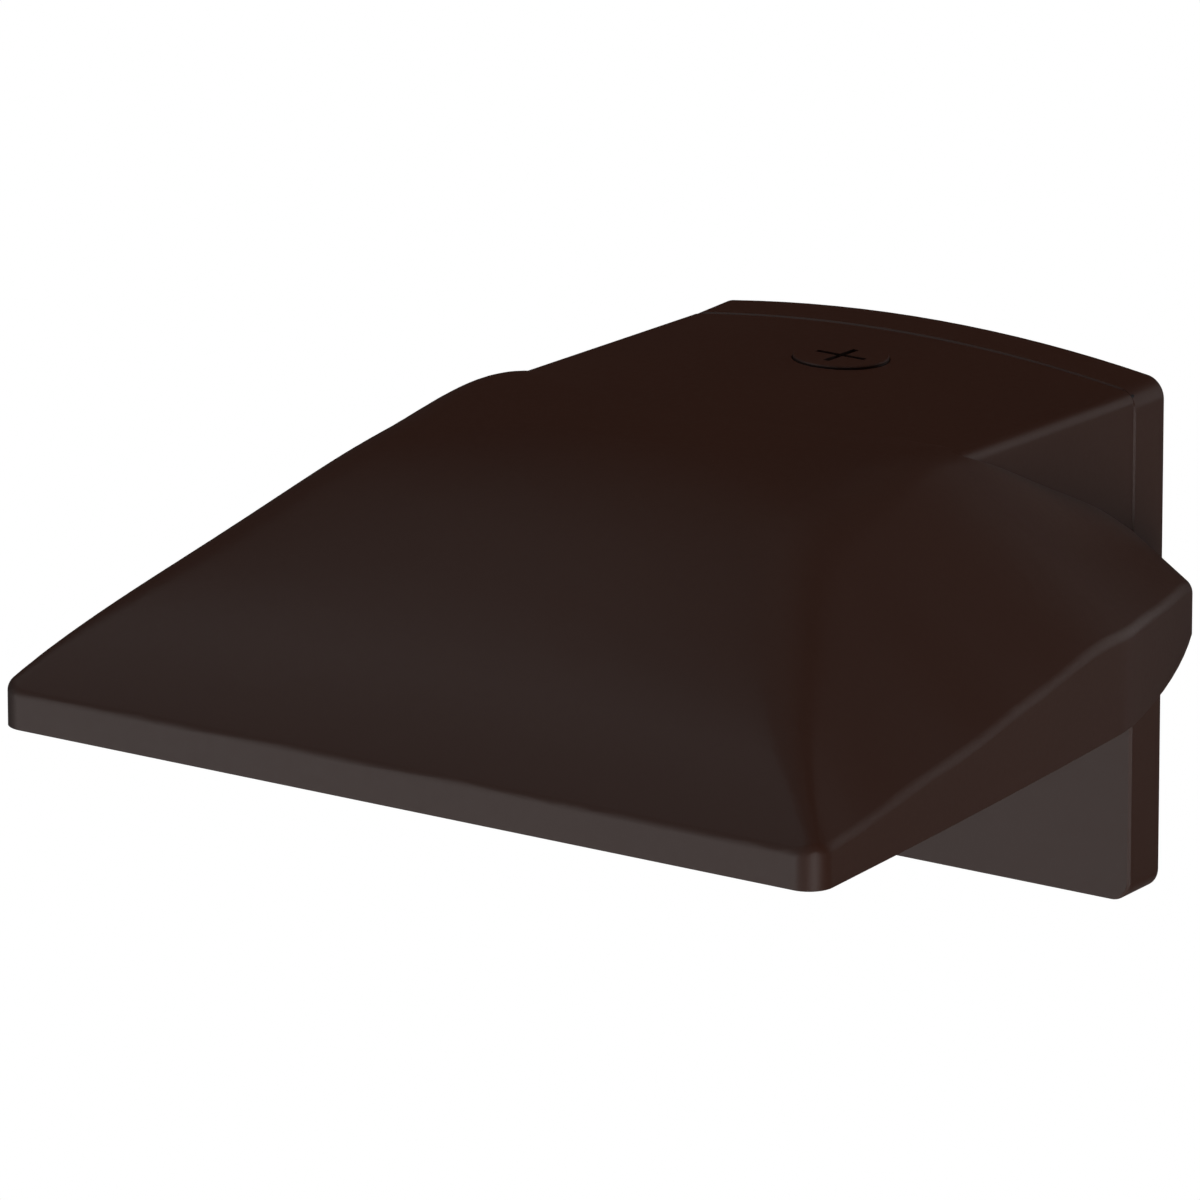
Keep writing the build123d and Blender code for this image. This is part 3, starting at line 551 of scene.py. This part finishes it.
def whiteForCamera(tree, lit):
    # mixes in pure white for camera and transmission rays
    path = tree.nodes.new("ShaderNodeLightPath")
    seen = addNode(tree, "ShaderNodeMath", {"operation": "MAXIMUM"},
                   {0: path.outputs["Is Camera Ray"], 1: path.outputs["Is Transmission Ray"]})
    white = addNode(tree, "ShaderNodeBackground" if lit.node.type == "BACKGROUND"
                    else "ShaderNodeEmission", {"Color": (1, 1, 1, 1), "Strength": 1.0})
    return addNode(tree, "ShaderNodeMixShader", {},
                   {"Fac": seen.outputs[0], 1: lit, 2: white.outputs[0]}).outputs["Shader"]


def addFloor():
    half = studioSet["floorSize"] / 2
    level = -studioSet["floorDrop"]
    corners = [(-half, -half, level), (half, -half, level), (half, half, level),
               (-half, half, level)]
    mesh = bpy.data.meshes.new("studioFloor")
    mesh.from_pydata(corners, [], [(0, 1, 2, 3)])
    floor = addObject("studioFloor", mesh)
    material, tree, shader, _ = startMaterial("paleFloor")
    shader.inputs["Base Color"].default_value = linearColour(studioSet["floorColour"])
    shader.inputs["Roughness"].default_value = studioSet["floorRough"]
    output = [node for node in tree.nodes if node.type == "OUTPUT_MATERIAL"][0]
    tree.links.new(whiteForCamera(tree, shader.outputs["BSDF"]), output.inputs["Surface"])
    mesh.materials.append(material)


def addWorld():
    # the light of a direction: its share along front, from 0 to 1, raised to the fall
    world = bpy.data.worlds.new("studioWorld")
    bpy.context.scene.world = world
    world.use_nodes = True
    tree = world.node_tree
    tree.nodes.clear()
    output = tree.nodes.new("ShaderNodeOutputWorld")
    way = tree.nodes.new("ShaderNodeTexCoord").outputs["Generated"]
    toward = addNode(tree, "ShaderNodeVectorMath", {"operation": "DOT_PRODUCT"}, {0: way})
    toward.inputs[1].default_value = studioSet["front"]
    share = addNode(tree, "ShaderNodeMapRange", {"From Min": studioSet["sweepFrom"],
                                                  "From Max": studioSet["sweepTo"]},
                    {"Value": toward.outputs["Value"]})
    curve = addNode(tree, "ShaderNodeMath", {"operation": "POWER", 1: studioSet["fall"]},
                    {0: share.outputs["Result"]})
    sweep = addNode(tree, "ShaderNodeMath", {"operation": "MULTIPLY", 1: studioSet["bright"]},
                    {0: curve.outputs[0]})
    lit = addNode(tree, "ShaderNodeBackground", {"Color": (1, 1, 1, 1)},
                  {"Strength": sweep.outputs[0]})
    tree.links.new(whiteForCamera(tree, lit.outputs["Background"]), output.inputs["Surface"])


# Disc lamps, in metres and watts. The matt ones light the body and leave no shine.
lampSets = [
    {"name": "frontLamp", "place": (-1.75, -2.65, -0.75), "size": 2.2, "power": 17.0},
    {"name": "crownLamp", "place": (-1.9, -0.9, 2.5), "size": 1.8, "power": 6.0},
    {"name": "backLamp", "place": (1.3, 2.9, 0.4), "size": 2.4, "power": 9.0},
    {"name": "edgeLamp", "place": (2.46, -1.75, -0.9), "size": 1.6, "power": 12.0},
    {"name": "rightLamp", "place": (2.5, -1.8, -0.9), "size": 2.0, "power": 100.0, "matt": True},
    {"name": "rearLamp", "place": (0.6, 3.2, -0.4), "size": 2.2, "power": 60.0, "matt": True},
    {"name": "highLamp", "place": (-0.3, 0.8, 3.0), "size": 2.4, "power": 92.0, "matt": True},
]


def addLamps():
    target = Vector(studioSet["lampAim"])
    for lampSet in lampSets:
        data = bpy.data.lights.new(lampSet["name"], "AREA")
        data.shape = "DISK"
        data.size = lampSet["size"]
        data.energy = lampSet["power"]
        lamp = addObject(lampSet["name"], data)
        lamp.visible_glossy = not lampSet.get("matt", False)
        lamp.location = lampSet["place"]
        lamp.rotation_euler = (target - lamp.location).to_track_quat("-Z", "Y").to_euler()


addFloor()
addWorld()
addLamps()
bpy.context.scene.view_settings.view_transform = "Standard"
print("studio done")
